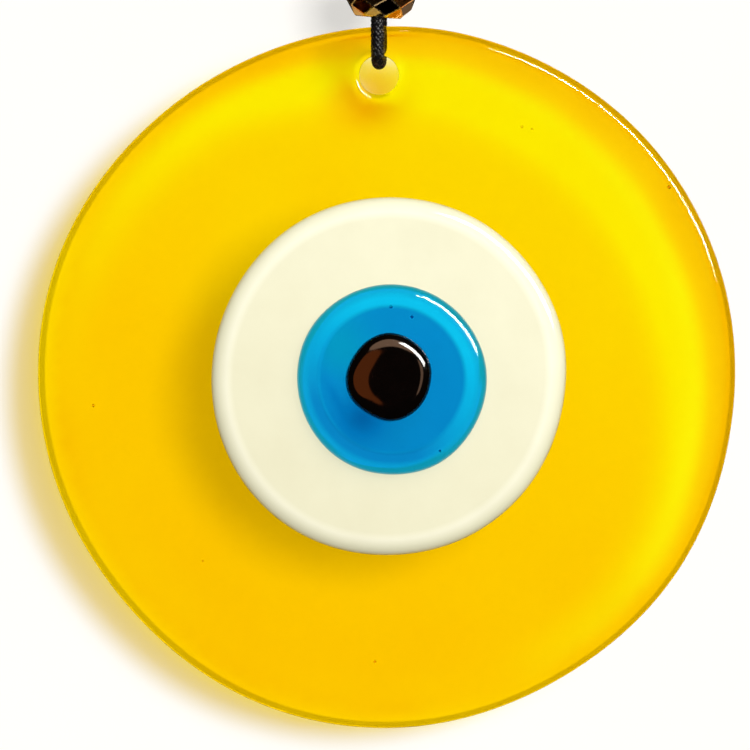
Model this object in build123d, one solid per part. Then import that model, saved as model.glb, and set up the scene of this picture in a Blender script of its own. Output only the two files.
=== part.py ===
from build123d import *

import os
from math import asin, cos, degrees, pi, radians, sin, tan

# Evil eye wall hanging: a disc of yellow glass with a white, a blue and a black layer fused
# on its front, hung by a doubled cord that runs through a gold bead and is tied at the top.
#
# Frame, in millimetres: the origin is the top of the hook that the ornament hangs on, +Z is
# up, the eye looks along -Y, and X = 0 is the line of the cord.

# ---- driving dimensions ----

# Cord: one length of round braid, doubled
CORD_D = 3.0
CORD_R = CORD_D / 2
CORD_GAP = 0.1  # air between the cord and the glass
ARC_SHARE = 0.45  # of the shorter run at a corner of a cord's route, taken up by its arc

# What hangs below the hook, from the top down
LOOP_DROP = 44.0  # from the hook to the top of the stopper knot
KNOT_R = 6.3
KNOT_H = 11.5
KNOT_ROUNDING = 4.5
KNOT_TO_BEAD = 0.8
BEAD_TO_RIM = 1.9

# Bead: a sphere cut into rows of diamonds, with flat ends and a wide hole
BEAD_R = 8.2
BEAD_HALF_H = 6.5
BEAD_HOLE_R = 4.0
BEAD_HOLE_CHAMFER = 0.7
BEAD_SIDES = 7  # diamonds in each row
BEAD_ROW_STEP = 16.0  # degrees of latitude from one row of corners to the next
BEAD_ROWS = 3  # rows of corners above the equator, and below it
BEAD_TURN = -101.0  # degrees; the longitude of one corner on the equator
BEAD_TILT = 4.0  # degrees; the bead leans to the right
BEAD_X = 0.45

# Glass disc: the radius every 18 degrees, counter-clockwise from +X as seen from the front
DISC_X = 2.2
DISC_TOP_R = 75.6  # from the disc's centre to its rim, straight up
DISC_T = 5.0
DISC_ROUNDING = 2.4
DISC_RADII = [
    74.6, 75.0, 75.4, 75.5, 75.6,
    75.6, 75.0, 74.9, 75.3, 75.9,
    75.7, 75.4, 74.9, 75.3, 75.8,
    75.7, 75.1, 74.7, 75.0, 74.6,
]
HOLE_R = 4.25
HOLE_DOWN = 10.55  # from the rim to the centre of the hole
HOLE_ROUNDING = 1.3

# Layers of the eye: centre, from the disc's centre, and the radius every 30 degrees
WHITE_T = 2.5
WHITE_ROUNDING = 2.2
WHITE_OFFSET = (0.1, 0.0)
WHITE_RADII = [38.0, 38.5, 38.8, 38.7, 38.7, 38.3, 38.4, 38.8, 38.9, 38.4, 38.3, 38.0]
BLUE_T = 2.0
BLUE_ROUNDING = 1.7
BLUE_OFFSET = (0.65, -0.65)
BLUE_RADII = [20.4, 20.3, 20.4, 20.6, 20.7, 20.8, 20.5, 20.4, 20.5, 20.4, 20.6, 20.3]
PUPIL_T = 2.3
PUPIL_ROUNDING = 2.0
PUPIL_OFFSET = (0.0, 0.0)
PUPIL_RADII = [9.1, 9.3, 9.3, 9.5, 9.1, 8.8, 9.2, 9.3, 9.0, 9.5, 9.4, 9.1]

# The hook isn't part of the ornament. The end knot rests on it, and the loop has room for a
# hook 6 mm thick.
KNOT_LIFT = 0.3  # from the top of the hook to the underside of the end knot

# Cord routes: the points where each cord's line turns.
# From the stopper knot down through the bead and the front of the disc, back through the
# disc's hole, and up behind it. The front leg runs a little to the left, the rear to the right.
SUSPENSION_ROUTE = [
    (-0.3, -1.6, -55.6),
    (-0.3, -1.7, -62.8),
    (-0.3, -2.2, -68.8),
    (-0.3, -4.15, -72.2),
    (-0.3, -4.1, -79.1),
    (0.3, 4.1, -79.1),
    (0.3, 4.15, -72.2),
    (0.3, 2.2, -68.8),
    (0.3, 1.7, -62.8),
    (0.3, 1.6, -55.6),
]
# The +X leg of the hanging loop, from inside the stopper knot, past the hook, into the end knot
HANGING_ROUTE = [(1.6, 0.0, -47.5), (4.9, 0.0, -4.6), (2.4, 0.0, 3.8)]
# The +X cut end of the cord, standing out of the top of the end knot
TAIL_ROUTE = [(1.7, 0.4, 8.3), (2.0, 0.6, 13.3), (5.4, 1.2, 20.0), (9.0, 1.4, 23.2)]

SAME_RADIUS = 0.01  # two radii closer than this are the same

# ---- places worked out from them ----

STOPPER_TOP = -LOOP_DROP
STOPPER_BOTTOM = STOPPER_TOP - KNOT_H
BEAD_TOP = STOPPER_BOTTOM - KNOT_TO_BEAD
BEAD_Z = BEAD_TOP - BEAD_HALF_H
BEAD_BOTTOM = BEAD_Z - BEAD_HALF_H
RIM_Z = BEAD_BOTTOM - BEAD_TO_RIM
DISC_Z = RIM_Z - DISC_TOP_R
HOLE_Z = RIM_Z - HOLE_DOWN
FRONT = -DISC_T / 2


def round_edges(shape, radius):
    """The circular edges of that radius."""
    circles = shape.edges().filter_by(GeomType.CIRCLE)
    return [e for e in circles if abs(e.radius - radius) < SAME_RADIUS]


# ---- glass ----


def outline(centre, radii):
    """Closed smooth outline about a centre, through one radius at each equal step of angle."""
    step = 2 * pi / len(radii)
    points = [
        (centre[0] + r * cos(i * step), centre[1] + r * sin(i * step))
        for i, r in enumerate(radii)
    ]
    return make_face(Spline(*points, periodic=True))


def slab(face, back_y, thickness):
    """The outline as a plate that grows towards the front (-Y) from its back."""
    return extrude(Plane.XZ.offset(-back_y) * face, amount=thickness)


def glass_base():
    """Yellow disc with a rounded rim and a drilled, fire-polished hole for the cord."""
    disc = slab(outline((DISC_X, DISC_Z), DISC_RADII), DISC_T / 2, DISC_T)
    rims = disc.edges().group_by(Axis.Y)
    disc = fillet(rims[0] + rims[-1], radius=DISC_ROUNDING)
    disc -= Pos(0, 0, HOLE_Z) * Rot(90, 0, 0) * Cylinder(HOLE_R, 2 * DISC_T)
    return fillet(round_edges(disc, HOLE_R), radius=HOLE_ROUNDING)


def layer(offset, radii, back_y, thickness, rounding):
    """One fused layer with a rounded shoulder at its front."""
    centre = (DISC_X + offset[0], DISC_Z + offset[1])
    plate = slab(outline(centre, radii), back_y, thickness)
    return fillet(plate.edges().group_by(Axis.Y)[0], radius=rounding)


# ---- bead ----


def on_bead(latitude, longitude):
    """A corner on the bead's sphere, with the bead's hole along Z. Both angles are in degrees."""
    return (
        BEAD_R * cos(radians(latitude)) * cos(radians(longitude)),
        BEAD_R * cos(radians(latitude)) * sin(radians(longitude)),
        BEAD_R * sin(radians(latitude)),
    )


def bead_facets():
    """Triangles of the diamonds, and the two flat ends, of the bead before its hole is cut."""
    half = 180.0 / BEAD_SIDES
    end_latitude = degrees(asin(BEAD_HALF_H / BEAD_R))
    cut = (end_latitude - BEAD_ROWS * BEAD_ROW_STEP) / BEAD_ROW_STEP
    facets = []
    for side in (1, -1):
        ring = []
        for i in range(BEAD_SIDES):
            last = BEAD_TURN + 2 * half * i + half * ((BEAD_ROWS - 1) % 2)
            top = on_bead(side * (BEAD_ROWS - 1) * BEAD_ROW_STEP, last)
            left = on_bead(side * BEAD_ROWS * BEAD_ROW_STEP, last - half)
            right = on_bead(side * BEAD_ROWS * BEAD_ROW_STEP, last + half)
            end_left = on_bead(side * end_latitude, last - half * (1 - cut))
            end_right = on_bead(side * end_latitude, last + half * (1 - cut))
            end_next = on_bead(side * end_latitude, last + half * (1 + cut))
            facets += [(top, left, end_left), (top, end_left, end_right), (top, end_right, right)]
            facets.append((right, end_right, end_next))
            ring += [end_left, end_right]
        facets.append(tuple(ring))
    for row in range(1 - BEAD_ROWS, BEAD_ROWS):
        for i in range(BEAD_SIDES):
            middle = BEAD_TURN + 2 * half * i + half * ((row + 1) % 2)
            top = on_bead((row + 1) * BEAD_ROW_STEP, middle)
            bottom = on_bead((row - 1) * BEAD_ROW_STEP, middle)
            left = on_bead(row * BEAD_ROW_STEP, middle - half)
            right = on_bead(row * BEAD_ROW_STEP, middle + half)
            facets += [(top, left, bottom), (top, bottom, right)]
    return facets


def bead():
    """Faceted bead, leaning a little on the cord, with a chamfered hole from end to end."""
    faces = [Face(Wire.make_polygon(f, close=True)) for f in bead_facets()]
    body = Solid(Shell(faces))
    body -= Cylinder(BEAD_HOLE_R, 3 * BEAD_HALF_H)
    body = chamfer(round_edges(body, BEAD_HOLE_R), length=BEAD_HOLE_CHAMFER)
    return Pos(BEAD_X, 0, BEAD_Z) * Rot(0, BEAD_TILT, 0) * body


# ---- cords and knots ----


def corner_radius(before, corner, after):
    """Radius of the arc at a corner of a cord's route: as large as its two runs allow."""
    turn = (corner - before).get_angle(after - corner)
    shorter = min((corner - before).length, (after - corner).length)
    return ARC_SHARE * shorter / tan(radians(turn / 2))


def tube(name, points, fixed=None):
    """Round cord along straight runs joined by tangent arcs.

    fixed gives the radius at a corner that bends round something.
    """
    route = [Vector(*p) for p in points]
    radii = [corner_radius(*route[i - 1 : i + 2]) for i in range(1, len(route) - 1)]
    for corner, radius in (fixed or {}).items():
        radii[corner - 1] = radius
    path = FilletPolyline(*route, radius=radii)
    ends = Plane(origin=path @ 0, z_dir=path % 0)
    cord = sweep(ends * Circle(CORD_R), path=path)
    expected = pi * CORD_R**2 * path.length
    print(name, "length", round(path.length, 1), "radii", [round(r, 1) for r in radii])
    print(name, "volume over section times length", round(cord.volume / expected, 4))
    return cord


def on_side(side, route):
    """The route on the -X or the +X side, turned half round the Z axis for the -X one."""
    return [(side * x, side * y, z) for x, y, z in route]


def cord_tails():
    """Both cut ends, each with a rounded, melted tip."""
    tails = []
    for side in (-1, 1):
        route = on_side(side, TAIL_ROUTE)
        tails.append(tube("cord_tails", route) + Pos(*route[-1]) * Sphere(CORD_R))
    return Compound(tails)


def knot(bottom_z):
    """The space that a barrel knot fills: the cord wrapped about three times round its own two legs."""
    barrel = Pos(0, 0, bottom_z + KNOT_H / 2) * Cylinder(KNOT_R, KNOT_H)
    return fillet(barrel.edges().filter_by(GeomType.CIRCLE), radius=KNOT_ROUNDING)


# ---- the parts ----


def parts():
    white_back = FRONT
    blue_back = white_back - WHITE_T
    pupil_back = blue_back - BLUE_T
    round_hole_edge = HOLE_ROUNDING + CORD_GAP + CORD_R
    suspension_bends = {4: round_hole_edge, 5: round_hole_edge}
    return {
        "glass_base": glass_base(),
        "white_disc": layer(WHITE_OFFSET, WHITE_RADII, white_back, WHITE_T, WHITE_ROUNDING),
        "blue_disc": layer(BLUE_OFFSET, BLUE_RADII, blue_back, BLUE_T, BLUE_ROUNDING),
        "pupil": layer(PUPIL_OFFSET, PUPIL_RADII, pupil_back, PUPIL_T, PUPIL_ROUNDING),
        "bead": bead(),
        "suspension_cord": tube("suspension_cord", SUSPENSION_ROUTE, suspension_bends),
        "stopper_knot": knot(STOPPER_BOTTOM),
        "hanging_cord_left": tube("hanging_cord_left", on_side(-1, HANGING_ROUTE)),
        "hanging_cord_right": tube("hanging_cord_right", on_side(1, HANGING_ROUTE)),
        "end_knot": knot(KNOT_LIFT),
        "cord_tails": cord_tails(),
    }


os.makedirs("parts", exist_ok=True)
for name, shape in parts().items():
    export_step(shape, f"parts/{name}.step")
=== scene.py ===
import math

import bmesh
import bpy
import numpy as np
from mathutils import Matrix, Vector, noise
from mathutils.geometry import delaunay_2d_cdt


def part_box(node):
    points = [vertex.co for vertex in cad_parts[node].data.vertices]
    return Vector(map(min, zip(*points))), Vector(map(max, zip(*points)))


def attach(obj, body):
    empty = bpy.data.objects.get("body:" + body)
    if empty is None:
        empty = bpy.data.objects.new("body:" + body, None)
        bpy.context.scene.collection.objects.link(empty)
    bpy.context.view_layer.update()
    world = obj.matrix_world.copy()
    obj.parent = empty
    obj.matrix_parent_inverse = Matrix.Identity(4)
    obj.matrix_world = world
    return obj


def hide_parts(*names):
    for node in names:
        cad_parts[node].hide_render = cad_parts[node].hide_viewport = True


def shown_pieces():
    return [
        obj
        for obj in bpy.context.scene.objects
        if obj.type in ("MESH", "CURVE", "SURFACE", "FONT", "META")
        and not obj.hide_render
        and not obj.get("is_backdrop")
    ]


# Evil eye wall hanging: fused glass disc on a doubled black cord with a faceted gold bead.
# Sizes are in metres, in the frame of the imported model: +Z is up and the eye looks along -Y.

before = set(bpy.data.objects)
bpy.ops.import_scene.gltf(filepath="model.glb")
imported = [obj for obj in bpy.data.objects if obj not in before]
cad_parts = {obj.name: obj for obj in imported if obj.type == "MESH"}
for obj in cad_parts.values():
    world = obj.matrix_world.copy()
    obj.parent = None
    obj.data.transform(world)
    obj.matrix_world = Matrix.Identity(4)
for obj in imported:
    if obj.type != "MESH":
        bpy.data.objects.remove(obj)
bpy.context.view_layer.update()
MM = 0.001

# ---- sizes ----

CORE_R = 1.15 * MM
DISC_LOW, DISC_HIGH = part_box("glass_base")
DISC_FRONT, DISC_BACK = DISC_LOW.y, DISC_HIGH.y
DISC_MIDDLE = (DISC_LOW + DISC_HIGH) / 2

HOLE_CENTRE = (0.0, -81.75 * MM)
HOLE_R = 4.25 * MM
HOLE_ROUNDING = 1.3 * MM
DISC_ROUNDING = 2.4 * MM

BEAD_CENTRE = Vector((0.45, 0, -62.8)) * MM
BEAD_TILT = math.radians(4)
BEAD_R = 8.2 * MM
BEAD_HALF_H = 6.5 * MM
BEAD_HOLE_R = 4.0 * MM
BEAD_CHAMFER = 0.4 * MM
BEAD_SIDES = 7
BEAD_ROWS = 3
BEAD_ROW_STEP = math.radians(16)
BEAD_TURN = math.radians(-101)

KNOT_H = 11.5 * MM
STOPPER_Z = -55.5 * MM
END_KNOT_Z = 0.3 * MM

# Cord routes, the same points as the solids' tubes turn at
SUSPENSION_ROUTE = [
    (-0.3, -1.6, -55.6), (-0.3, -1.7, -62.8), (-0.3, -2.2, -68.8), (-0.3, -4.15, -72.2),
    (-0.3, -4.1, -79.1), (0.3, 4.1, -79.1), (0.3, 4.15, -72.2), (0.3, 2.2, -68.8),
    (0.3, 1.7, -62.8), (0.3, 1.6, -55.6),
]
HANGING_ROUTE = [(1.6, 0.0, -47.5), (4.9, 0.0, -4.6), (2.4, 0.0, 3.8)]
TAIL_ROUTE = [(1.7, 0.4, 8.3), (2.0, 0.6, 13.3), (5.4, 1.2, 20.0), (9.0, 1.4, 23.2)]

# ---- camera ----

CAMERA_LENS = 1000.0
SENSOR = 36.0
VIEW_WIDTH = 161.6 * MM
VIEW_CENTRE = Vector((-0.86, 0, -146.4)) * MM


def add_camera():
    data = bpy.data.cameras.new("camera")
    data.lens = CAMERA_LENS
    data.sensor_width = SENSOR
    data.dof.use_dof = False
    camera = bpy.data.objects.new("camera", data)
    bpy.context.scene.collection.objects.link(camera)
    distance = VIEW_WIDTH * CAMERA_LENS / SENSOR
    camera.location = VIEW_CENTRE + Vector((0, DISC_FRONT - distance, 0))
    camera.rotation_euler = (math.pi / 2, 0, 0)
    bpy.context.scene.camera = camera


add_camera()


# ---- helpers ----


def link(name, data, body=None, replaces=()):
    """Puts data in the scene as a piece of that body, in place of those CAD parts, which it hides."""
    piece = bpy.data.objects.new(name, data)
    bpy.context.scene.collection.objects.link(piece)
    if body:
        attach(piece, body)
    if replaces:
        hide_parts(*replaces)
    return piece


def smooth(t):
    """Eases from 0 at t = 0 to 1 at t = 1."""
    t = min(max(t, 0.0), 1.0)
    return t * t * (3 - 2 * t)


def wavy(x, z, size, seed):
    """Gentle unevenness from -1 to 1, with swells of that size."""
    return noise.noise(Vector((x / size, z / size, seed)))


def spot(x, z, centre, size):
    """Soft round spot: 1 at its centre, fading to nothing over about twice that size."""
    return math.exp(-((math.hypot(x - centre[0], z - centre[1]) / size) ** 2))


def mesh_from(name, verts, faces, rounded=True, join=1e-6):
    """Mesh with doubled vertices joined and its normals turned outwards."""
    mesh = bpy.data.meshes.new(name)
    mesh.from_pydata([tuple(v) for v in verts], [], faces)
    work = bmesh.new()
    work.from_mesh(mesh)
    bmesh.ops.remove_doubles(work, verts=work.verts, dist=join)
    bmesh.ops.recalc_face_normals(work, faces=work.faces)
    work.to_mesh(mesh)
    work.free()
    if rounded:
        mesh.shade_smooth()
    return mesh


def strips(rings):
    """Faces between rings of equally many vertices, numbered one ring after another."""
    count = len(rings[0])
    faces = []
    for a in range(len(rings) - 1):
        for i in range(count):
            j = (i + 1) % count
            faces.append((a * count + i, a * count + j, (a + 1) * count + j, (a + 1) * count + i))
    return faces


class Nodes:
    """A material's node tree, with short ways to add to it."""

    def __init__(self, name):
        self.material = bpy.data.materials.new(name)
        self.material.use_nodes = True
        self.tree = self.material.node_tree
        self.tree.nodes.clear()
        self.out = self.add("ShaderNodeOutputMaterial")

    def add(self, kind, **inputs):
        node = self.tree.nodes.new(kind)
        for key, value in inputs.items():
            self.set(node, key.replace("_", " "), value)
        return node

    def set(self, node, key, value):
        socket = node.inputs[key]
        if isinstance(value, bpy.types.NodeSocket):
            self.tree.links.new(value, socket)
        else:
            socket.default_value = value

    def noise(self, scale, detail=3.0, stretch=(1, 1, 1)):
        """Noise over the object's own coordinates; scale is in features per metre."""
        place = self.add("ShaderNodeTexCoord")
        squeeze = self.add("ShaderNodeMapping", Scale=stretch, Vector=place.outputs["Object"])
        texture = self.add(
            "ShaderNodeTexNoise",
            Vector=squeeze.outputs["Vector"],
            Scale=scale,
            Detail=detail,
            Roughness=0.55,
        )
        return texture.outputs["Fac"]

    def ramp(self, factor, *stops):
        """Colour ramp; each stop is a place and a colour."""
        node = self.add("ShaderNodeValToRGB", Fac=factor)
        elements = node.color_ramp.elements
        while len(elements) < len(stops):
            elements.new(1.0)
        for element, (place, colour) in zip(elements, stops):
            element.position = place
            element.color = (*colour, 1.0)
        return node.outputs["Color"]

    def value_ramp(self, factor, *stops):
        """Number that changes with factor; each stop is a place and a number."""
        return self.ramp(factor, *[(place, (v, v, v)) for place, v in stops])

    def bump(self, height, strength, distance):
        node = self.add("ShaderNodeBump", Strength=strength, Distance=distance, Height=height)
        return node.outputs["Normal"]

    def times(self, first, second):
        node = self.add("ShaderNodeMix")
        node.data_type = "RGBA"
        node.blend_type = "MULTIPLY"
        node.inputs["Factor"].default_value = 1.0
        self.tree.links.new(first, node.inputs["A"])
        self.tree.links.new(second, node.inputs["B"])
        return node.outputs["Result"]

    def blend(self, factor, first, second):
        node = self.add("ShaderNodeMix")
        node.data_type = "RGBA"
        self.tree.links.new(factor, node.inputs["Factor"])
        self.tree.links.new(first, node.inputs["A"])
        self.tree.links.new(second, node.inputs["B"])
        return node.outputs["Result"]

    def attribute(self, name):
        node = self.add("ShaderNodeAttribute")
        node.attribute_name = name
        return node.outputs["Fac"]

    def mixed(self, factor, first, second):
        """Shader that goes from first to second as factor goes from 0 to 1."""
        node = self.add("ShaderNodeMixShader")
        for value, socket in zip((factor, first.outputs[0], second.outputs[0]), node.inputs):
            self.tree.links.new(value, socket)
        return node

    def absorbing(self, colour, density):
        """Fills the inside with glass that absorbs all but that colour."""
        inside = self.add("ShaderNodeVolumeAbsorption", Color=(*colour, 1), Density=density)
        self.tree.links.new(inside.outputs[0], self.out.inputs["Volume"])

    def surface(self, shader):
        self.tree.links.new(shader.outputs[0], self.out.inputs["Surface"])
        return self.material


# ---- materials ----


def lit_glass(n, glass, shade):
    """Glass that lamps shine through: a shadow is coloured by shade and isn't black."""
    path = n.add("ShaderNodeLightPath")
    stand_in = n.add("ShaderNodeBsdfTransparent", Color=shade)
    return n.mixed(path.outputs["Is Shadow Ray"], glass, stand_in)


def yellow_glass():
    n = Nodes("yellow_glass")
    # Glass colour with painted light: painted amber shade at the rim and below left of the hole, and a
    # painted pale band of light
    light_and_tone = n.ramp(
        n.attribute("light_and_tone"),
        (0.0, (0.93, 0.56, 0.003)),
        (0.3, (0.99, 0.64, 0.004)),
        (0.5, (1.0, 0.70, 0.005)),
        (0.75, (1.0, 0.84, 0.006)),
        (1.0, (1.0, 0.97, 0.008)),
    )
    cloud = n.ramp(n.noise(60, detail=2), (0.3, (1.0, 0.975, 0.95)), (0.7, (1.0, 1.0, 1.0)))
    tint = n.times(light_and_tone, cloud)
    wipe = n.noise(300, detail=4)
    roughness = n.value_ramp(wipe, (0.35, 0.015), (0.75, 0.05))
    ripple = n.bump(n.noise(90, detail=1), 0.12, 0.0004)
    glass = n.add(
        "ShaderNodeBsdfPrincipled",
        Base_Color=tint,
        Roughness=roughness,
        IOR=1.5,
        Transmission_Weight=1.0,
        Normal=ripple,
    )
    shade = n.ramp(
        n.attribute("filter"),
        (0.0, (0.87, 0.79, 0.76)),
        (0.25, (0.88, 0.79, 0.50)),
        (0.5, (0.90, 0.70, 0.03)),
        (1.0, (1.0, 0.97, 0.09)),
    )
    shader = lit_glass(n, glass, shade)
    n.absorbing((0.998, 0.989, 0.75), 800)
    return n.surface(shader)


def white_glass():
    n = Nodes("white_glass")
    cloud = n.ramp(n.noise(120, detail=4), (0.25, (0.965, 0.96, 0.945)), (0.75, (1.0, 1.0, 1.0)))
    # darker at the thin outer edge, and a painted ring of light on the shoulder
    shoulder = n.ramp(
        n.attribute("inset"),
        (0.0, (0.76, 0.68, 0.38)),
        (0.06, (0.80, 0.78, 0.56)),
        (0.22, (0.83, 0.82, 0.62)),
        (0.42, (0.88, 0.87, 0.70)),
        (0.50, (0.86, 0.85, 0.67)),
        (0.62, (0.81, 0.795, 0.595)),
    )
    light_and_tone = n.attribute("light_and_tone")
    # painted shade: darker towards the lower left, away from the key
    gradient = n.ramp(light_and_tone, (0.0, (0.92, 0.91, 0.89)), (0.64, (1.0, 1.0, 1.0)))
    under = n.ramp(n.noise(150), (0.3, (0.88, 0.89, 0.93)), (0.7, (0.90, 0.91, 0.96)))
    shown = n.times(n.times(shoulder, cloud), gradient)
    colour = n.blend(n.value_ramp(light_and_tone, (0.82, 0.0), (0.98, 1.0)), shown, under)
    roughness = n.value_ramp(n.noise(500, detail=3), (0.3, 0.07), (0.8, 0.16))
    skin = n.bump(n.noise(180, detail=2), 0.10, 0.0003)
    shader = n.add(
        "ShaderNodeBsdfPrincipled",
        Base_Color=colour,
        Roughness=roughness,
        IOR=1.5,
        Normal=skin,
    )
    return n.surface(shader)


def blue_glass():
    n = Nodes("blue_glass")
    inset = n.attribute("inset")
    light_and_tone = n.attribute("light_and_tone")
    # edge colours with painted light: the pale ring on the key's side, and dimmer away from it
    key_lit_edge = n.ramp(
        inset,
        (0.0, (0.01, 0.20, 0.26)),
        (0.05, (0.01, 0.28, 0.42)),
        (0.11, (0.01, 0.38, 0.60)),
        (0.27, (0.02, 0.61, 0.62)),
        (0.42, (0.03, 0.96, 0.86)),
        (0.58, (0.03, 0.96, 0.86)),
    )
    key_shaded_edge = n.ramp(
        inset,
        (0.0, (0.01, 0.20, 0.30)),
        (0.05, (0.01, 0.28, 0.50)),
        (0.11, (0.01, 0.32, 0.60)),
        (0.27, (0.01, 0.37, 0.51)),
        (0.42, (0.01, 0.20, 0.39)),
    )
    # body colours; the lowest stops are the pupil's painted shade
    middle = n.ramp(
        light_and_tone,
        (0.0, (0.0, 0.045, 0.17)),
        (0.25, (0.0, 0.13, 0.33)),
        (0.5, (0.005, 0.23, 0.42)),
        (0.8, (0.005, 0.35, 0.36)),
        (1.0, (0.005, 0.42, 0.39)),
    )
    # painted light: the edge goes to the lit ring on the key's side
    edge = n.blend(light_and_tone, key_shaded_edge, key_lit_edge)
    tint = n.blend(n.value_ramp(inset, (0.59, 0.0), (0.77, 1.0)), edge, middle)
    roughness = n.value_ramp(n.noise(400, detail=3), (0.3, 0.01), (0.8, 0.035))
    glass = n.add(
        "ShaderNodeBsdfPrincipled",
        Base_Color=tint,
        Roughness=roughness,
        IOR=1.5,
        Transmission_Weight=1.0,
    )
    shader = lit_glass(n, glass, (0.85, 0.97, 1.0, 1))
    n.absorbing((0.0, 0.86, 0.985), 900)
    return n.surface(shader)


def black_glass():
    n = Nodes("black_glass")
    colour = n.ramp(n.noise(300), (0.3, (0.001, 0.0006, 0.0005)), (0.8, (0.002, 0.001, 0.0008)))
    roughness = n.value_ramp(n.noise(700, detail=4), (0.3, 0.07), (0.8, 0.12))
    shader = n.add(
        "ShaderNodeBsdfPrincipled",
        Base_Color=colour,
        Roughness=roughness,
        IOR=1.5,
    )
    return n.surface(shader)


def bead_metal(name, dark, light, rough):
    n = Nodes(name)
    colour = n.ramp(n.noise(350, detail=3), (0.3, dark), (0.75, light))
    roughness = n.value_ramp(n.noise(1500, detail=4), (0.3, rough * 0.6), (0.8, rough * 1.6))
    scuffs = n.bump(n.noise(2500, detail=3), 0.08, 0.0001)
    shader = n.add(
        "ShaderNodeBsdfPrincipled",
        Base_Color=colour,
        Roughness=roughness,
        Metallic=1.0,
        Normal=scuffs,
    )
    return n.surface(shader)


def cord_black(name, shine):
    n = Nodes(name)
    colour = n.ramp(n.noise(900, detail=4), (0.3, (0.0015, 0.0013, 0.0016)), (0.75, (0.006, 0.005, 0.0055)))
    roughness = n.value_ramp(n.noise(1800, detail=3), (0.3, shine), (0.8, shine + 0.25))
    fibres = n.bump(n.noise(5000, detail=2, stretch=(1, 1, 0.3)), 0.5, 0.00008)
    shader = n.add(
        "ShaderNodeBsdfPrincipled",
        Base_Color=colour,
        Roughness=roughness,
        IOR=1.35,
        Sheen_Weight=0.02,
        Sheen_Roughness=0.4,
        Normal=fibres,
    )
    return n.surface(shader)


BRAID = cord_black("cord_braid", 0.16)
CORE = cord_black("cord_core", 0.5)
MELTED = cord_black("cord_melted", 0.18)


# ---- cords ----

STRANDS = 16
BRAID_PITCH = 9.0 * MM
BRAID_STEP = 0.17 * MM
STRAND_RADIUS_AT = 1.21 * MM
STRAND_HALF_W = 0.36 * MM
STRAND_HALF_T = 0.17 * MM
WEAVE = 0.13 * MM
STRAND_SIDES = 6

# Barrel knots: the cord wrapped round its own two legs, with the wraps' ends tucked in
KNOT_TURNS = 2.9
KNOT_STEPS = 160
KNOT_END = 1.55 * MM
KNOT_RX, KNOT_RY = 4.62 * MM, 4.05 * MM
KNOT_TUCK_RX, KNOT_TUCK_RY = 1.7 * MM, 1.3 * MM
LEG_POINTS = 12
TIP_R = 1.5 * MM


def on_side(side, route):
    return [(side * x, side * y, z) for x, y, z in route]


def add_route(name, route):
    """Smooth cord centreline with those control points, in mm."""
    data = bpy.data.curves.new(name, "CURVE")
    data.dimensions = "3D"
    data.resolution_u = 16
    spline = data.splines.new("NURBS")
    spline.points.add(len(route) - 1)
    for point, place in zip(spline.points, route):
        point.co = (*(Vector(place) * MM), 1.0)
    spline.order_u = 3
    spline.use_endpoint_u = True
    data.bevel_depth = CORE_R
    data.bevel_resolution = 4
    data.use_fill_caps = True
    data.materials.append(CORE)
    return data


def line_of(data):
    """Points along the centreline of a cord's curve, as an array."""
    bare = data.copy()
    bare.bevel_depth = 0
    holder = bpy.data.objects.new("line", bare)
    mesh = bpy.data.meshes.new_from_object(holder)
    points = np.array([v.co for v in mesh.vertices])
    bpy.data.objects.remove(holder)
    bpy.data.curves.remove(bare)
    bpy.data.meshes.remove(mesh)
    return points


def even(points, step):
    """The same line through equally spaced points."""
    points = np.asarray(points, float)
    steps = np.linalg.norm(np.diff(points, axis=0), axis=1)
    along = np.concatenate([[0], np.cumsum(steps)])
    count = max(int(round(along[-1] / step)), 4)
    at = np.linspace(0, along[-1], count + 1)
    return at, np.stack([np.interp(at, along, points[:, k]) for k in range(3)], axis=1)


def frames(points):
    """Two directions square to the line at each point, turned as little as possible."""
    ahead = np.gradient(points, axis=0)
    ahead /= np.linalg.norm(ahead, axis=1)[:, None]
    start = np.cross(ahead[0], (0.0, 0.0, 1.0) if abs(ahead[0][2]) < 0.8 else (1.0, 0.0, 0.0))
    u = [start / np.linalg.norm(start)]
    for i in range(1, len(points)):
        flat = u[-1] - ahead[i] * (u[-1] @ ahead[i])
        u.append(flat / np.linalg.norm(flat))
    u = np.array(u)
    return u, np.cross(ahead, u)


def braid_mesh(name, line):
    """Round braid of flat strands, half of them turning each way, over and under each other."""
    at, points = even(line, BRAID_STEP)
    u, v = frames(points)
    half = STRANDS // 2
    verts, faces = [], []
    for k in range(STRANDS):
        way = 1 if k % 2 else -1
        turn = way * 2 * math.pi * at / BRAID_PITCH + 2 * math.pi * (k // 2) / half
        radius = STRAND_RADIUS_AT + way * WEAVE * np.cos(half * turn)
        out = u * np.cos(turn)[:, None] + v * np.sin(turn)[:, None]
        centre = points + out * radius[:, None]
        ahead = np.gradient(centre, axis=0)
        ahead /= np.linalg.norm(ahead, axis=1)[:, None]
        side = np.cross(out, ahead)
        side /= np.linalg.norm(side, axis=1)[:, None]
        rise = np.cross(ahead, side)
        base = len(verts)
        for j in range(STRAND_SIDES):
            a = 2 * math.pi * j / STRAND_SIDES
            ring = centre + side * (STRAND_HALF_W * math.cos(a)) + rise * (STRAND_HALF_T * math.sin(a))
            verts.extend(ring)
        rows = len(points)
        for j in range(STRAND_SIDES):
            a, b = base + j * rows, base + (j + 1) % STRAND_SIDES * rows
            faces += [(a + i, a + i + 1, b + i + 1, b + i) for i in range(rows - 1)]
        faces.append([base + j * rows for j in range(STRAND_SIDES)])
        faces.append([base + j * rows + rows - 1 for j in reversed(range(STRAND_SIDES))])
    mesh = bpy.data.meshes.new(name)
    mesh.from_pydata([tuple(p) for p in verts], [], faces)
    mesh.shade_smooth()
    mesh.materials.append(BRAID)
    return mesh


def add_cord(name, route, body, node):
    """A free length of the cord: its core, and the braid over it."""
    data = add_route(name, route)
    core = link(name, data, body, [node])
    strands = link(name + "_braid", braid_mesh(name + "_braid", line_of(data)), body)


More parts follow.
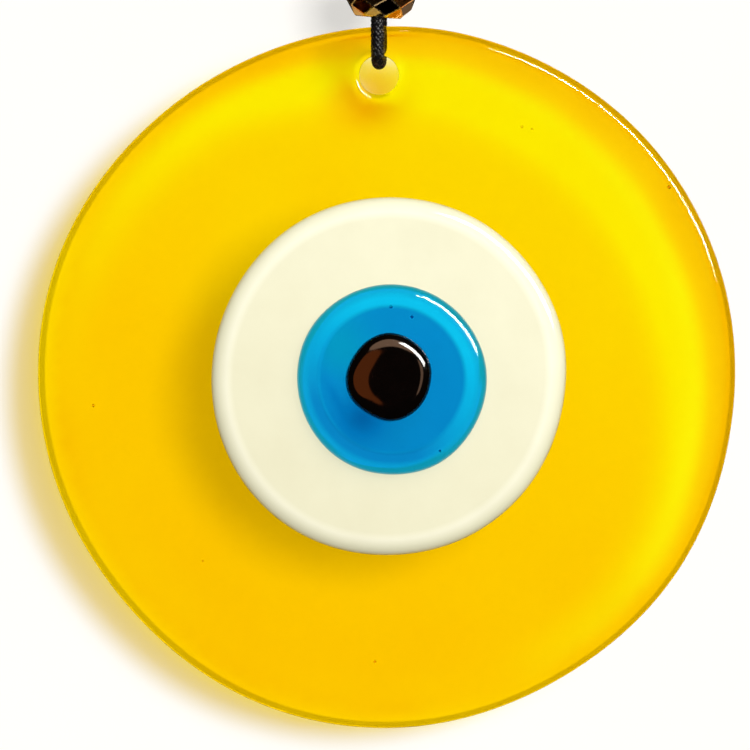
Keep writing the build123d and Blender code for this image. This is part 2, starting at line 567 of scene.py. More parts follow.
def knot_line(bottom, start):
    """Centreline of the cord's wraps in a barrel knot, with both ends tucked into it."""
    points = []
    low, high = bottom + KNOT_END, bottom + KNOT_H - KNOT_END
    for i in range(KNOT_STEPS + 1):
        t = i / KNOT_STEPS
        a = start + 2 * math.pi * KNOT_TURNS * t
        out = smooth(4 * KNOT_TURNS * min(t, 1 - t))  # tucked in to full size in a quarter turn
        swell = 1 + 0.05 * math.sin(2 * a + 0.7) + 0.03 * math.sin(3.1 * t * math.pi)
        rx = (KNOT_TUCK_RX + (KNOT_RX - KNOT_TUCK_RX) * out) * swell
        ry = (KNOT_TUCK_RY + (KNOT_RY - KNOT_TUCK_RY) * out) * swell
        z = low + (high - low) * t + 0.35 * MM * math.sin(a + 0.4)
        points.append((rx * math.cos(a), ry * math.sin(a), z))
    return points


def leg_line(start, end):
    """Evenly spaced points in metres, from start to end, which are in mm."""
    return [np.array(start) * (1 - t) * MM + np.array(end) * t * MM for t in np.linspace(0, 1, LEG_POINTS)]


def tube_mesh(name, line, radius, material, sides=12):
    """Plain round tube along a line, with domed ends."""
    at, points = even(line, radius * 0.5)
    u, v = frames(points)
    rings = []
    last = at[-1]
    for i, centre in enumerate(points):
        edge = min(at[i], last - at[i], radius)
        r = math.sqrt(max(radius**2 - (radius - edge) ** 2, (0.15 * radius) ** 2))
        rings.append(
            [
                centre + r * (u[i] * math.cos(a) + v[i] * math.sin(a))
                for a in np.linspace(0, 2 * math.pi, sides, endpoint=False)
            ]
        )
    verts = [p for ring in rings for p in ring]
    faces = strips(rings)
    faces.append(tuple(range(sides)))
    faces.append(tuple(len(verts) - sides + j for j in range(sides)))
    mesh = mesh_from(name, verts, faces, join=1e-8)
    mesh.materials.append(material)
    return mesh


def add_knot(name, bottom, node, legs, start):
    """Barrel knot: wraps of the cord round the legs that pass through it."""
    wraps = knot_line(bottom, start)
    piece = link(name, braid_mesh(name, wraps), "hanger", [node])
    core = link(name + "_core", tube_mesh(name + "_core", wraps, CORE_R, CORE), "hanger")
    extra = [core]
    for i, (low, high) in enumerate(legs):
        leg = braid_mesh(f"{name}_leg_{i}", leg_line(low, high))
        extra.append(link(f"{name}_leg_{i}", leg, "hanger"))
    return [piece, *extra]


def add_tail(side):
    """A cut end of the cord above the end knot, with a melted tip."""
    sign = "right" if side > 0 else "left"
    data = add_route(f"tail_{sign}", on_side(side, TAIL_ROUTE))
    line = line_of(data)
    core = link(f"tail_{sign}", data, "hanger", ["cord_tails"])
    strands = link(f"tail_{sign}_braid", braid_mesh(f"tail_{sign}_braid", line), "hanger")
    tip = Vector(line[-1])
    along = (tip - Vector(line[-4])).normalized()
    blob = [tip - along * 1.2 * MM, tip + along * 0.2 * MM, tip + along * 1.35 * MM]
    end = tube_mesh(f"tail_{sign}_tip", blob, TIP_R, MELTED, 16)
    melted = link(f"tail_{sign}_tip", end, "hanger")
    return [core, strands, melted]


stopper = add_knot(
    "stopper_wraps",
    STOPPER_Z,
    "stopper_knot",
    [((-1.5, -0.7, -53.4), (-1.85, 0, -43.0)), ((1.5, 0.7, -53.4), (1.85, 0, -43.0))],
    start=0.6,
)
end_wraps = add_knot(
    "end_wraps",
    END_KNOT_Z,
    "end_knot",
    [((-2.6, 0, 0.5), (-1.75, -0.42, 12.2)), ((2.6, 0, 0.5), (1.75, 0.42, 12.2))],
    start=2.3,
)
tails = add_tail(-1) + add_tail(1)

add_cord(
    "suspension", SUSPENSION_ROUTE, "suspension",
    "suspension_cord",
)
add_cord(
    "hanging_left", on_side(-1, HANGING_ROUTE), "hanger",
    "hanging_cord_left",
)
add_cord(
    "hanging_right", HANGING_ROUTE, "hanger",
    "hanging_cord_right",
)


# ---- glass ----

HARMONICS = 10
ROW_SPACING = 0.866  # the height of a triangle with sides of 1


class Outline:
    """Smooth closed outline of a glass node: its radius at each angle about a centre."""

    def __init__(self, node, low, high):
        """Fits the node's corners whose y lies between low and high."""
        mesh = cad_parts[node].data
        box_low, box_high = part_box(node)
        middle = (box_low + box_high) / 2
        self.x, self.z = middle.x, middle.z
        spots = [v.co for v in mesh.vertices if low <= v.co.y <= high]
        angles = np.array([math.atan2(p.z - self.z, p.x - self.x) for p in spots])
        radii = np.array([math.hypot(p.z - self.z, p.x - self.x) for p in spots])
        self.terms = np.linalg.lstsq(self.waves(angles), radii, rcond=None)[0]

    def waves(self, angles):
        parts = [np.ones_like(angles)]
        for k in range(1, HARMONICS + 1):
            parts += [np.cos(k * angles), np.sin(k * angles)]
        return np.stack(parts, axis=-1)

    def radius(self, angles):
        return self.waves(np.asarray(angles, float)) @ self.terms

    def ring(self, inset, y, count):
        """Points that far inside the outline."""
        angles = np.linspace(0, 2 * math.pi, count, endpoint=False)
        radii = self.radius(angles) - np.asarray(inset)
        return [(self.x + r * math.cos(a), y, self.z + r * math.sin(a)) for a, r in zip(angles, radii)]

    def inset(self, x, z):
        angle = math.atan2(z - self.z, x - self.x)
        return float(self.radius(angle)) - math.hypot(x - self.x, z - self.z)


def rounding(depth, rise, steps):
    """Quarter of an ellipse, from the flat inwards to the side: pairs of inset and height."""
    angles = np.linspace(0, math.pi / 2, steps + 1)
    return [(depth * (1 - math.sin(a)), rise * (1 - math.cos(a))) for a in angles]


def filled(outer, inner_centre, inner_r, inner, y, spacing):
    """Triangles between an outer ring and a round hole, with points of their own in between."""
    points = [Vector((p[0], p[2])) for p in outer] + [Vector((p[0], p[2])) for p in inner]
    count, holes = len(outer), len(inner)
    edges = [(i, (i + 1) % count) for i in range(count)]
    edges += [(count + i, count + (i + 1) % holes) for i in range(holes)]
    low = Vector((min(p[0] for p in outer), min(p[2] for p in outer)))
    high = Vector((max(p[0] for p in outer), max(p[2] for p in outer)))
    rows = int((high.y - low.y) / (spacing * ROW_SPACING))
    hole = Vector(inner_centre)
    for row in range(rows + 1):
        for col in range(int((high.x - low.x) / spacing) + 1):
            p = Vector((low.x + (col + 0.5 * (row % 2)) * spacing, low.y + row * spacing * ROW_SPACING))
            if DISC.inset(p.x, p.y) < DISC_ROUNDING + 0.6 * spacing:
                continue
            if (p - hole).length > inner_r + 0.4 * spacing:
                points.append(p)
    made, _, faces, _, _, _ = delaunay_2d_cdt(points, edges, [], 0, 1e-9)
    keep = []
    for face in faces:
        middle = sum((made[i] for i in face), Vector((0, 0))) / 3
        inside = DISC.inset(middle.x, middle.y) > DISC_ROUNDING * 0.999
        if inside and (middle - hole).length > inner_r * 0.998:
            keep.append(tuple(face))
    return [(p.x, y, p.y) for p in made], keep


DISC = Outline("glass_base", -0.00015, 0.00015)
RIM_SEGMENTS = 360
HOLE_SEGMENTS = 72
BRIGHT_SIDE = math.radians(48)  # the key's side of the disc, whose rim has the painted deep shade and the painted pale band of light
SHADOW_SIDE = math.radians(204)  # the side where the disc's shadow shows past its rim
HOLE_SHADOW_SPOT = (HOLE_CENTRE[0] - 6.4 * MM, HOLE_CENTRE[1] - 4.0 * MM)  # painted shadow of the hole's edge, the cord and the bead, below left of the hole
FILTER_SPOT = (HOLE_CENTRE[0] + 7.9 * MM, HOLE_CENTRE[1] + 1.5 * MM)  # glass that makes light amber
FACE_WAVES = 0.09 * MM
FACE_WAVE_SIZE = 17 * MM


def disc_light_and_tone(x, z, inset):
    """Colour of the glass there, much of it painted light: 0 the painted amber shade at the rim on the
    key's side and below left of the hole, 0.5 the body, 1 the palest band, a painted band of light.
    """
    angle = math.atan2(z - DISC.z, x - DISC.x)
    toward = math.cos(angle - BRIGHT_SIDE)
    side = smooth(0.5 + 0.62 * toward)
    reach = (5.5 + 4.8 * max(toward, 0)) * MM
    # painted shade: an amber band along the rim on the key's side
    painted_rim_shade = side * (0.85 + 0.15 * wavy(x, z, 12 * MM, 4.0)) * smooth(1.15 - inset / reach)
    middle = (4.5 + 9.5 * max(toward, 0.2)) * MM
    # painted light: a pale band inside the rim, widest on the key's side, and a paler rim on the far side
    pale = (0.1 + 0.9 * side) * math.exp(-(((inset - middle) / (5.5 * MM)) ** 2))
    pale += 0.5 * (1 - side) * smooth(1 - inset / (6 * MM))
    # painted light: lighter towards the upper right, where the key is
    across = (0.11 * (x - DISC.x) + 0.21 * (z - DISC.z)) / (75 * MM)
    body = 0.54 + across + 0.05 * wavy(x, z, 22 * MM, 6.0)
    # painted shadow of the hole's edge, the cord and the bead
    by_hole = spot(x, z, HOLE_SHADOW_SPOT, 5.6 * MM)
    return min(max(body + 0.5 * pale - 0.80 * painted_rim_shade - 0.64 * by_hole, 0.0), 1.0)


def disc_filter(x, z, inset):
    """How the glass colours light passing it: 0 tan at the rim, 0.5 amber by the hole, 1 yellow.

    The rim is tan where its shadow falls outside the disc, which is on the side away from the key.
    """
    angle = math.atan2(z - DISC.z, x - DISC.x)
    away = max(math.cos(angle - SHADOW_SIDE), 0.0)
    from_spot = math.hypot(x - FILTER_SPOT[0], z - FILTER_SPOT[1])
    by_hole = 1 - 0.5 * smooth(1.25 - from_spot / (8 * MM))
    return min(by_hole, smooth((inset - (9.9 * away - 1.2) * MM) / (2 * MM)))


def add_bubbles(mesh, spots):
    """Air bubbles in a glass mesh: small spheres that face inwards. spots are x, y, z and radius in mm."""
    work = bmesh.new()
    work.from_mesh(mesh)
    for x, y, z, r in spots:
        place = Matrix.Translation(Vector((x, y, z)) * MM)
        made = bmesh.ops.create_icosphere(work, subdivisions=2, radius=r * MM, matrix=place)
        faces = {f for v in made["verts"] for f in v.link_faces}
        for f in faces:
            f.normal_flip()
            f.smooth = True
    work.to_mesh(mesh)
    work.free()


DISC_BUBBLES = [
    (62.5, 0.4, -105.9, 0.42), (-0.9, -0.8, -208.2, 0.34), (-61.6, 0.6, -153.0, 0.34),
    (30.8, 0.2, -92.9, 0.30), (33.0, -0.3, -93.4, 0.26), (-38.0, 0.9, -186.5, 0.22),
]


def hole_ring(radius, y):
    """Points of a circle about the middle of the disc's hole."""
    x, z = HOLE_CENTRE
    around = np.linspace(0, 2 * math.pi, HOLE_SEGMENTS, endpoint=False)
    return [(x + radius * math.cos(a), y, z + radius * math.sin(a)) for a in around]


def finish_disc(mesh, half):
    """Gives the disc's mesh its colours with painted light, and the colour of light passing it, and makes
    its two faces gently uneven.
    """
    lights_and_tones = mesh.attributes.new("light_and_tone", "FLOAT", "POINT")
    filters = mesh.attributes.new("filter", "FLOAT", "POINT")
    for v in mesh.vertices:
        inset = DISC.inset(v.co.x, v.co.z)
        from_hole = math.hypot(v.co.x - HOLE_CENTRE[0], v.co.z - HOLE_CENTRE[1]) - HOLE_R
        lights_and_tones.data[v.index].value = disc_light_and_tone(v.co.x, v.co.z, inset)
        filters.data[v.index].value = disc_filter(v.co.x, v.co.z, inset)
        near = min((inset - DISC_ROUNDING) / (10 * MM), (from_hole - HOLE_ROUNDING) / (5 * MM))
        if near > 0 and abs(v.co.y) > 0.9 * half:
            seed = 3.0 if v.co.y < 0 else 8.0
            v.co.y += smooth(near) * FACE_WAVES * wavy(v.co.x, v.co.z, FACE_WAVE_SIZE, seed)


def disc_mesh():
    """Yellow disc: a rounded rim, a drilled hole with rounded edges, and gently uneven faces."""
    half = (DISC_BACK - DISC_FRONT) / 2
    rim = [(inset, rise - half) for inset, rise in rounding(DISC_ROUNDING, DISC_ROUNDING, 10)]
    rim += [(inset, -y) for inset, y in reversed(rim)]
    rims = [DISC.ring(inset, y, RIM_SEGMENTS) for inset, y in rim]
    bore = [(inset, rise - half) for inset, rise in rounding(HOLE_ROUNDING, HOLE_ROUNDING, 6)]
    bore += [(inset, -y) for inset, y in reversed(bore)]
    bores = [hole_ring(HOLE_R + inset, y) for inset, y in bore]
    verts = [p for ring in rims for p in ring]
    faces = strips(rims)
    base = len(verts)
    verts += [p for ring in bores for p in ring]
    faces += [tuple(base + i for i in f) for f in strips(bores)]
    for outer, inner, y in ((rims[0], bores[0], -half), (rims[-1], bores[-1], half)):
        base = len(verts)
        spots, triangles = filled(outer, HOLE_CENTRE, HOLE_R + HOLE_ROUNDING, inner, y, 2.2 * MM)
        verts += spots
        faces += [tuple(base + i for i in f) for f in triangles]
    mesh = mesh_from("disc", verts, faces, join=2e-6)
    add_bubbles(mesh, DISC_BUBBLES)
    finish_disc(mesh, half)
    mesh.materials.append(yellow_glass())
    return mesh


UNDER_BLUE_AT = (0.43 * MM, -0.75 * MM)
UNDER_BLUE_R = 19.9 * MM


def white_light_and_tone(x, z, right, up):
    """The layer's even painted light, up to 0.8, and 1 under the blue layer where the white is purer."""
    from_middle = math.hypot(right - UNDER_BLUE_AT[0], up - UNDER_BLUE_AT[1])
    under = smooth((UNDER_BLUE_R - from_middle) / (0.8 * MM))
    return under + (1 - under) * 0.8 * even_light_and_tone(x, z, right, up)


def even_light_and_tone(x, z, right, up):
    """Painted light that grows evenly from the lower left to the upper right of a layer, where the key is.
    """
    light_and_tone = 0.5 + (0.45 * right + 0.9 * up) / (76 * MM) + 0.06 * wavy(x, z, 15 * MM, 2.0)
    return min(max(light_and_tone, 0.0), 1.0)


DOME_SEGMENTS = 240
DOME_INNER_RINGS = 36
LEAN_SIDE = math.radians(-12)


def dome_mesh(name, node, shoulder, sink, ripple, seed, material, lean=0.0, bubbles=(), light_and_tone=even_light_and_tone):
    """A fused layer: a wide rounded shoulder, a slightly uneven top, and a flat back sunk in the glass.

    lean makes the shoulder wider on the left and narrower on the right by that share.
    """
    low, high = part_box(node)
    outline = Outline(node, high.y - 1e-5, high.y + 1e-5)
    rise = high.y - low.y
    side = rounding(shoulder, rise, 16)
    insets = [(inset, low.y + up) for inset, up in side]
    reach = float(outline.radius(0.0))
    inner = np.linspace(shoulder, reach - 0.6 * MM, DOME_INNER_RINGS)[1:]
    profile = [(inset, low.y) for inset in reversed(inner)] + insets
    profile.append((0.0, high.y + sink))
    angles = np.linspace(0, 2 * math.pi, DOME_SEGMENTS, endpoint=False)
    wider = shoulder * (1 - lean * np.cos(angles - LEAN_SIDE))
    rings = []
    for inset, y in profile:
        ring = []
        share = min(inset / shoulder, 1.0)
        rest = max(inset - shoulder, 0.0) / (reach - shoulder)
        at = np.minimum(share * wider + rest * (reach - wider), reach * 0.97)
        for x, _, z in outline.ring(at, y, DOME_SEGMENTS):
            lift = ripple * share * wavy(x, z, 11 * MM, seed) if y < high.y - 1e-7 else 0.0
            ring.append((x, y + lift, z))
        rings.append(ring)
    verts = [p for ring in rings for p in ring]
    faces = strips(rings)
    faces.append(tuple(range(DOME_SEGMENTS)))
    faces.append(tuple(len(verts) - DOME_SEGMENTS + i for i in range(DOME_SEGMENTS)))
    mesh = mesh_from(name, verts, faces, join=1e-7)
    for face in mesh.polygons:
        if len(face.vertices) == DOME_SEGMENTS and face.normal.y > 0.9:
            face.use_smooth = False
    add_bubbles(mesh, bubbles)
    insets = mesh.attributes.new("inset", "FLOAT", "POINT")
    lights_and_tones = mesh.attributes.new("light_and_tone", "FLOAT", "POINT")
    for v in mesh.vertices:
        inset = outline.inset(v.co.x, v.co.z)
        insets.data[v.index].value = min(max(inset / (2 * shoulder), 0.0), 1.0)
        lights_and_tones.data[v.index].value = light_and_tone(v.co.x, v.co.z, v.co.x - outline.x, v.co.z - outline.z)
    mesh.materials.append(material)
    return mesh


RING_SIDE = math.radians(62)  # the key's side, where the painted pale ring of light at the blue's edge is brightest
# the pupil's painted shade on the blue, then a teal patch and a swirl in the glass
PUPIL_SHADE_AT = (-6.2 * MM, -8.4 * MM)
TEAL_AT = (-11.0 * MM, 7.5 * MM)
SWIRL_AT = Vector((-12.6, -3.2)) * MM
SWIRL_ALONG = Vector((0.43, -0.90))
SWIRL_BESIDE = Vector((0.90, 0.43))


def blue_light_and_tone(x, z, right, up):
    """Depth of the blue: 0.5 the body, less in the pupil's painted shade, more where it's teal.

    Near the edge it's the strength of the painted pale ring of light, brightest on the side of the key.
    The body is painted a little lighter towards the key.
    """
    angle = math.atan2(up, right)
    # painted light: the pale ring is strongest towards the key
    ring = 0.48 + 0.70 * math.cos(angle - RING_SIDE)
    # painted shade that the pupil casts on the blue
    shaded = spot(right, up, PUPIL_SHADE_AT, 4.6 * MM)
    teal = spot(right, up, TEAL_AT, 7.0 * MM)
    swirl = Vector((right, up)) - SWIRL_AT
    along, beside = swirl.dot(SWIRL_ALONG), swirl.dot(SWIRL_BESIDE)
    streak = math.exp(-((beside / (1.0 * MM)) ** 2) - (along / (4.0 * MM)) ** 2)
    # painted light: lighter towards the upper right, where the key is
    lit = (0.5 * right + 0.87 * up) / (20 * MM)
    body = 0.47 + 0.06 * lit + 0.34 * teal - 0.42 * shaded - 0.16 * streak
    body += 0.05 * wavy(x, z, 7 * MM, 11.0)
    inner = smooth((16.3 * MM - math.hypot(right, up)) / (0.9 * MM))
    return min(max(inner * body + (1 - inner) * ring, 0.0), 1.0)


def blue_bubbles():
    """Three small air bubbles half way through the blue layer."""
    low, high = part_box("blue_disc")
    depth = (low.y + high.y) / 2 / MM
    return [(2.6, depth, -131.7, 0.42), (7.1, depth, -133.9, 0.42), (13.1, depth, -162.7, 0.35)]


def add_glass():
    link("disc_glass", disc_mesh(), "eye", ["glass_base"])
    link(
        "white_layer",
        dome_mesh(
            "white_layer", "white_disc", 3.8 * MM, 0.2 * MM, 0.10 * MM, 1.0, white_glass(), light_and_tone=white_light_and_tone
        ),
        "eye", ["white_disc"],
    )
    link(
        "blue_layer",
        dome_mesh(
            "blue_layer", "blue_disc", 3.4 * MM, 0.3 * MM, 0.06 * MM, 5.0, blue_glass(),
            bubbles=blue_bubbles(), light_and_tone=blue_light_and_tone,
        ),
        "eye", ["blue_disc"],
    )
    link(
        "pupil_dome",
        dome_mesh("pupil_dome", "pupil", 4.2 * MM, 0.3 * MM, 0.03 * MM, 9.0, black_glass(), lean=0.3),
        "eye", ["pupil"],
    )


add_glass()


# ---- bead ----

EDGE_BEVEL = 0.16 * MM
BORE_SEGMENTS = 48
BEAD_MOUTH_R = BEAD_HOLE_R + BEAD_CHAMFER
BEAD_END_AREA = 20 * MM * MM  # the two flat ends are larger than this, and the facets smaller
EDGES, BORE, DARK_FACETS = 1, 2, 3  # numbers of the bead's materials; the gold facets have 0


def on_bead(latitude, longitude):
    return (
        BEAD_R * math.cos(latitude) * math.cos(longitude),
        BEAD_R * math.cos(latitude) * math.sin(longitude),
        BEAD_R * math.sin(latitude),
    )


def bead_faces():
    """Diamonds, cut diamonds and small triangles of the bead, and its two flat ends."""
    half = math.pi / BEAD_SIDES
    end = math.asin(BEAD_HALF_H / BEAD_R)
    cut = (end - BEAD_ROWS * BEAD_ROW_STEP) / BEAD_ROW_STEP
    faces = []
    for side in (1, -1):
        ring = []
        for i in range(BEAD_SIDES):
            at = BEAD_TURN + 2 * half * i + half * ((BEAD_ROWS - 1) % 2)
            top = on_bead(side * (BEAD_ROWS - 1) * BEAD_ROW_STEP, at)
            left = on_bead(side * BEAD_ROWS * BEAD_ROW_STEP, at - half)
            right = on_bead(side * BEAD_ROWS * BEAD_ROW_STEP, at + half)
            end_left = on_bead(side * end, at - half * (1 - cut))
            end_right = on_bead(side * end, at + half * (1 - cut))
            end_next = on_bead(side * end, at + half * (1 + cut))
            faces.append((top, left, end_left, end_right, right))
            faces.append((right, end_right, end_next))
            ring += [end_left, end_right]
        faces.append(tuple(ring))
    for row in range(1 - BEAD_ROWS, BEAD_ROWS):
        for i in range(BEAD_SIDES):
            at = BEAD_TURN + 2 * half * i + half * ((row + 1) % 2)
            faces.append(
                (
                    on_bead((row + 1) * BEAD_ROW_STEP, at),
                    on_bead(row * BEAD_ROW_STEP, at - half),
                    on_bead((row - 1) * BEAD_ROW_STEP, at),
                    on_bead(row * BEAD_ROW_STEP, at + half),
                )
            )
    first = len(faces) - (2 * BEAD_ROWS - 1) * BEAD_SIDES
    dark = [i for i in range(first, len(faces)) if (i - first) // BEAD_SIDES % 2 == 0]
    return faces, dark


def hole_circle(work, radius, z):
    """New vertices round the bead's hole at that height."""
    around = np.linspace(0, 2 * math.pi, BORE_SEGMENTS, endpoint=False)
    return [work.verts.new((radius * math.cos(a), radius * math.sin(a), z)) for a in around]


def hole_wall(work, first, second, material):
    """Faces between two circles of the hole."""
    for i in range(BORE_SEGMENTS):
        j = (i + 1) % BORE_SEGMENTS
        work.faces.new((first[i], first[j], second[j], second[i])).material_index = material


def drill(work):
    """Cuts the wide hole through the bead's two flat ends, with a small chamfer at each."""
    ends = [f for f in work.faces if abs(f.normal.z) > 0.99 and f.calc_area() > BEAD_END_AREA]
    bores = []
    for end in ends:
        z = end.calc_center_median().z
        loop = list(end.verts)
        rim = hole_circle(work, BEAD_MOUTH_R, z)
        bore = hole_circle(work, BEAD_HOLE_R, z - math.copysign(BEAD_CHAMFER, z))
        whole = loop + rim
        count = len(loop)
        edges = [(i, (i + 1) % count) for i in range(count)]
        edges += [(count + i, count + (i + 1) % BORE_SEGMENTS) for i in range(BORE_SEGMENTS)]
        points = [Vector((v.co.x, v.co.y)) for v in whole]
        spots, _, triangles, sources, _, _ = delaunay_2d_cdt(points, edges, [], 0, 1e-9)
        for triangle in triangles:
            middle = sum((spots[i] for i in triangle), Vector((0, 0))) / 3
            if middle.length > BEAD_MOUTH_R * 0.997:
                corners = [whole[sources[i][0]] for i in triangle]
                if len(set(corners)) == 3:
                    work.faces.new(corners)
        hole_wall(work, rim, bore, EDGES)
        bores.append(bore)
    bmesh.ops.delete(work, geom=ends, context="FACES_ONLY")
    hole_wall(work, *bores, BORE)


def bead_mesh():
    """Faceted bead with narrow bright edges between its facets, and a wide hole."""
    faces, dark = bead_faces()
    verts = [p for f in faces for p in f]
    numbered, start = [], 0
    for f in faces:
        numbered.append(tuple(range(start, start + len(f))))
        start += len(f)
    mesh = mesh_from("bead", verts, numbered, rounded=False)
    work = bmesh.new()
    work.from_mesh(mesh)
    work.faces.ensure_lookup_table()
    for i in dark:
        work.faces[i].material_index = DARK_FACETS
    made = bmesh.ops.bevel(
        work, geom=list(work.edges), offset=EDGE_BEVEL, segments=1, affect="EDGES", profile=0.5
    )
    for f in made["faces"]:
        f.material_index = EDGES
    drill(work)
    bmesh.ops.recalc_face_normals(work, faces=work.faces)
    work.to_mesh(mesh)
    work.free()
    mesh.transform(Matrix.Translation(BEAD_CENTRE) @ Matrix.Rotation(BEAD_TILT, 4, "Y"))
    mesh.shade_smooth()
    normals = []
    for polygon in mesh.polygons:
        normals += [tuple(polygon.normal)] * polygon.loop_total
    mesh.normals_split_custom_set(normals)
    for name, darker, lighter, rough in (
        ("bead_facets", (0.50, 0.30, 0.09), (0.72, 0.48, 0.16), 0.07),
        ("bead_edges", (0.85, 0.66, 0.34), (0.98, 0.82, 0.50), 0.25),
        ("bead_bore", (0.20, 0.12, 0.05), (0.35, 0.22, 0.09), 0.4),
        ("bead_dark_facets", (0.03, 0.006, 0.005), (0.06, 0.014, 0.009), 0.06),
    ):
        mesh.materials.append(bead_metal(name, darker, lighter, rough))
    return mesh


link("gold_bead", bead_mesh(), "bead", ["bead"])


# ---- stage and lights ----

WALL_Y = 108 * MM
FLOOR_Z = -268 * MM
FLOOR_FRONT = -1.2
STAGE_HALF_W = 12.0


def plaster(name, one_sided):
    n = Nodes(name)
    colour = n.ramp(n.noise(8, detail=3), (0.3, (0.97, 0.96, 0.94)), (0.75, (0.99, 0.985, 0.965)))
    rough = n.bump(n.noise(900, detail=3), 0.05, 0.0002)
    shader = n.add("ShaderNodeBsdfPrincipled", Base_Color=colour, Roughness=0.8, Normal=rough)
    n.set(shader, "Specular IOR Level", 0.0)
    if not one_sided:
        return n.surface(shader)
    facing = n.add("ShaderNodeNewGeometry")
    clear = n.add("ShaderNodeBsdfTransparent")
    return n.surface(n.mixed(facing.outputs["Backfacing"], shader, clear))


def stage_plane(name, corners, material):
    mesh = bpy.data.meshes.new(name)
    mesh.from_pydata(corners, [], [(0, 1, 2, 3)])
    mesh.materials.append(material)
    plane = link(name, mesh)
    plane.visible_glossy = False
    plane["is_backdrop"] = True
    return plane


def add_stage():
    """Pale wall behind the ornament, seen and lit from its front only, and a pale floor."""
    x, back, low, front = STAGE_HALF_W, WALL_Y, FLOOR_Z, FLOOR_FRONT
    wall = stage_plane(
        "wall",
        [(-x, back, low), (x, back, low), (x, back, x), (-x, back, x)],
        plaster("wall_plaster", True),
    )
    wall.visible_shadow = False
    floor = stage_plane(
        "floor",
        [(-x, front, low), (x, front, low), (x, back, low), (-x, back, low)],
        plaster("floor_plaster", False),
    )
    floor.visible_diffuse = False
    return wall, floor


def group_of(name, objects):
    group = bpy.data.collections.get(name) or bpy.data.collections.new(name)
    for o in objects:
        if o.name not in group.objects:
            group.objects.link(o)
    return group


def lights_only(light, name, objects):
    """Makes the light fall on those objects alone."""
    light.light_linking.receiver_collection = group_of(name, objects)


def shaded_only_by(light, name, objects):
    """Makes those objects alone cast a shadow in the light."""
    light.light_linking.blocker_collection = group_of(name, objects)


def add_sun(name, towards, strength, colour, angle):
    data = bpy.data.lights.new(name, "SUN")
    data.energy = strength
    data.color = colour
    data.angle = angle
    sun = bpy.data.objects.new(name, data)
    bpy.context.scene.collection.objects.link(sun)
    sun.rotation_euler = Vector(towards).to_track_quat("-Z", "Y").to_euler()
    sun.visible_glossy = False
    sun.visible_transmission = False
    return sun


def add_box(name, place, width, height, power, colour, mirrored_only=False, roll=0.0, shape="RECTANGLE"):
    """Soft box that faces the disc's middle. place is from there, in metres."""
    data = bpy.data.lights.new(name, "AREA")
    data.shape = shape
    data.size, data.size_y = width, height
    data.energy = power
    data.color = colour
    box = bpy.data.objects.new(name, data)
    bpy.context.scene.collection.objects.link(box)
    box.location = DISC_MIDDLE + Vector(place)
    facing = (-Vector(place)).to_track_quat("-Z", "Y").to_matrix()
    box.rotation_euler = (facing @ Matrix.Rotation(roll, 3, "Z")).to_euler()
    box.visible_camera = False
    box.visible_transmission = False
    box.visible_glossy = mirrored_only
    box.visible_diffuse = not mirrored_only
    return box


def add_world():
    """Pale where it is seen or shows through the glass, dim as a light, brown in mirrored views."""
    world = bpy.data.worlds.new("studio")
    bpy.context.scene.world = world
    world.use_nodes = True
    tree = world.node_tree
    tree.nodes.clear()

    def background(colour, strength):
        node = tree.nodes.new("ShaderNodeBackground")
        node.inputs["Color"].default_value = (*colour, 1)
        node.inputs["Strength"].default_value = strength
        return node

    def mixed(factor, first, second):
        node = tree.nodes.new("ShaderNodeMixShader")
        tree.links.new(factor, node.inputs[0])
        tree.links.new(first.outputs[0], node.inputs[1])
        tree.links.new(second.outputs[0], node.inputs[2])
        return node

    path = tree.nodes.new("ShaderNodeLightPath")
    soft = background((1.0, 0.985, 0.96), 0.03)
    mirrored = background((0.50, 0.36, 0.27), 0.02)
    seen = background((1.0, 0.99, 0.965), 1.0)
    either = mixed(path.outputs["Is Glossy Ray"], soft, mirrored)
    through = mixed(path.outputs["Is Transmission Ray"], either, seen)
    final = mixed(path.outputs["Is Camera Ray"], through, seen)
    out = tree.nodes.new("ShaderNodeOutputWorld")
    tree.links.new(final.outputs[0], out.inputs["Surface"])


KEY_TOWARDS = (-0.082, 1.0, -0.037)
KEY_STRENGTH = 3.3
WARM_WHITE = (1.0, 0.985, 0.955)
GOLD = (1.0, 0.72, 0.35)
COPPER = (1.0, 0.50, 0.30)
TAN = (1.0, 0.58, 0.36)


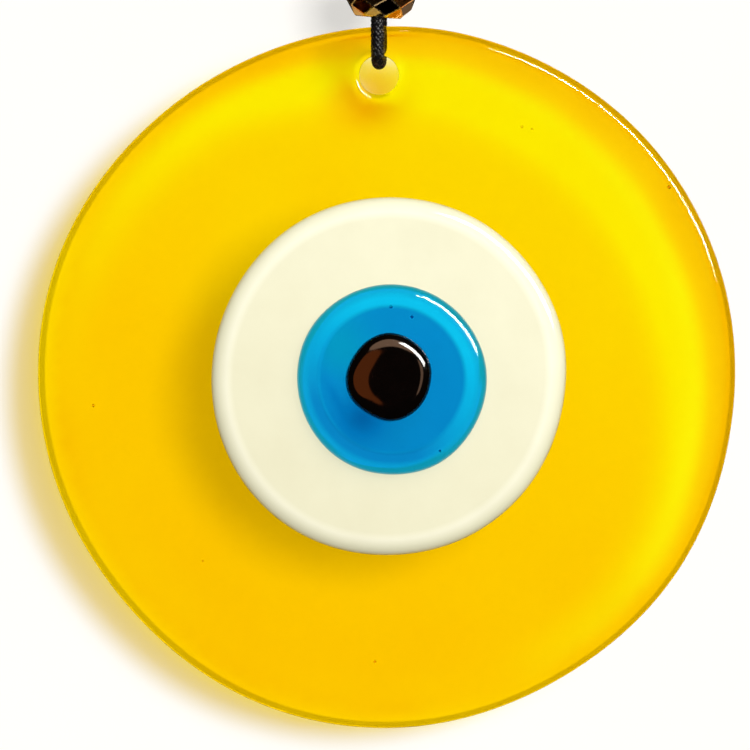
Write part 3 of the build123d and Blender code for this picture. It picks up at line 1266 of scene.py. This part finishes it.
def add_lights(wall, floor):
    """Soft key from the upper right. On the wall a third of it has every shadow, the rest the glass's."""
    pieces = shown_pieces()
    named = {p.name: p for p in pieces}
    key = add_sun("key", KEY_TOWARDS, KEY_STRENGTH * 0.96, WARM_WHITE, math.radians(5))
    lights_only(key, "ornament", pieces)
    on_wall = add_sun("key_on_wall", KEY_TOWARDS, KEY_STRENGTH * 0.35, WARM_WHITE, math.radians(6))
    lights_only(on_wall, "stage", [wall, floor])
    through = add_sun("key_through", KEY_TOWARDS, KEY_STRENGTH * 0.65, WARM_WHITE, math.radians(3.4))
    lights_only(through, "stage", [wall, floor])
    shaded_only_by(through, "clear_glass", [named["disc_glass"]])
    overhead = add_sun("floor_light", (0, 0.1, -1), 2.6, WARM_WHITE, math.radians(20))
    lights_only(overhead, "stage_floor", [floor])
    for name, place, size, power in (
        ("fill_left", (-1.2, -0.6, 0.3), 0.8, 1.5),
        ("fill_right", (1.0, -0.5, 0.6), 0.8, 6.0),
        ("fill_back", (-0.5, 1.4, 0.8), 0.8, 12.0),
        ("fill_top", (0.15, -0.35, 0.80), 0.5, 1.8),
    ):
        box = add_box(name, place, size, size, power, WARM_WHITE)
        lights_only(box, "ornament", pieces)
    back = add_sun("back_key", (0.25, -1.0, -0.35), 3.6, WARM_WHITE, math.radians(20))
    lights_only(back, "ornament", pieces)
    for i, tilt in enumerate((43, 49, 55)):
        away, ahead = math.sin(math.radians(tilt)), math.cos(math.radians(tilt))
        place = (0.74 * away, -ahead, 0.67 * away)
        add_box(
            f"window_{i}", place, 0.75, 0.035, 8.0, WARM_WHITE, mirrored_only=True, roll=math.radians(-42)
        )
    for name, place, width, height, power, colour, mirrors in (
        ("copper_left", (-0.46, -0.90, 0.0), 0.78, 0.86, 2.4, (1.0, 0.22, 0.04), "pupil_dome"),
        ("tan_top", (-0.02, -0.80, 0.60), 1.1, 0.55, 4.4, TAN, "pupil_dome"),
        ("tan_right", (0.47, -0.88, 0.02), 0.30, 0.60, 0.9, TAN, "pupil_dome"),
        ("bead_front", (0.0, -0.85, -0.45), 0.60, 0.45, 0.8, (1.0, 0.80, 0.62), "gold_bead"),
        ("bead_right", (0.90, 0.25, -0.25), 0.60, 0.60, 1.0, COPPER, "gold_bead"),
        ("bead_low_left", (-0.58, 0.54, -0.53), 0.80, 0.80, 1.6, GOLD, "gold_bead"),
        ("bead_low_right", (0.50, 0.60, -0.55), 0.80, 0.80, 1.6, GOLD, "gold_bead"),
        ("bead_top", (0.1, -0.5, 0.95), 0.60, 0.60, 1.2, GOLD, "gold_bead"),
    ):
        shape = "ELLIPSE" if mirrors == "pupil_dome" else "RECTANGLE"
        box = add_box(name, place, width, height, power, colour, mirrored_only=True, shape=shape)
        lights_only(box, mirrors + "_only", [named[mirrors]])
    add_world()


add_lights(*add_stage())

scene = bpy.context.scene
scene.view_settings.view_transform = "Standard"
scene.cycles.caustics_reflective = False
scene.cycles.caustics_refractive = False
scene.cycles.max_bounces = 36
scene.cycles.glossy_bounces = 30
scene.cycles.transmission_bounces = 12
scene.cycles.transparent_max_bounces = 24

bpy.context.view_layer.update()
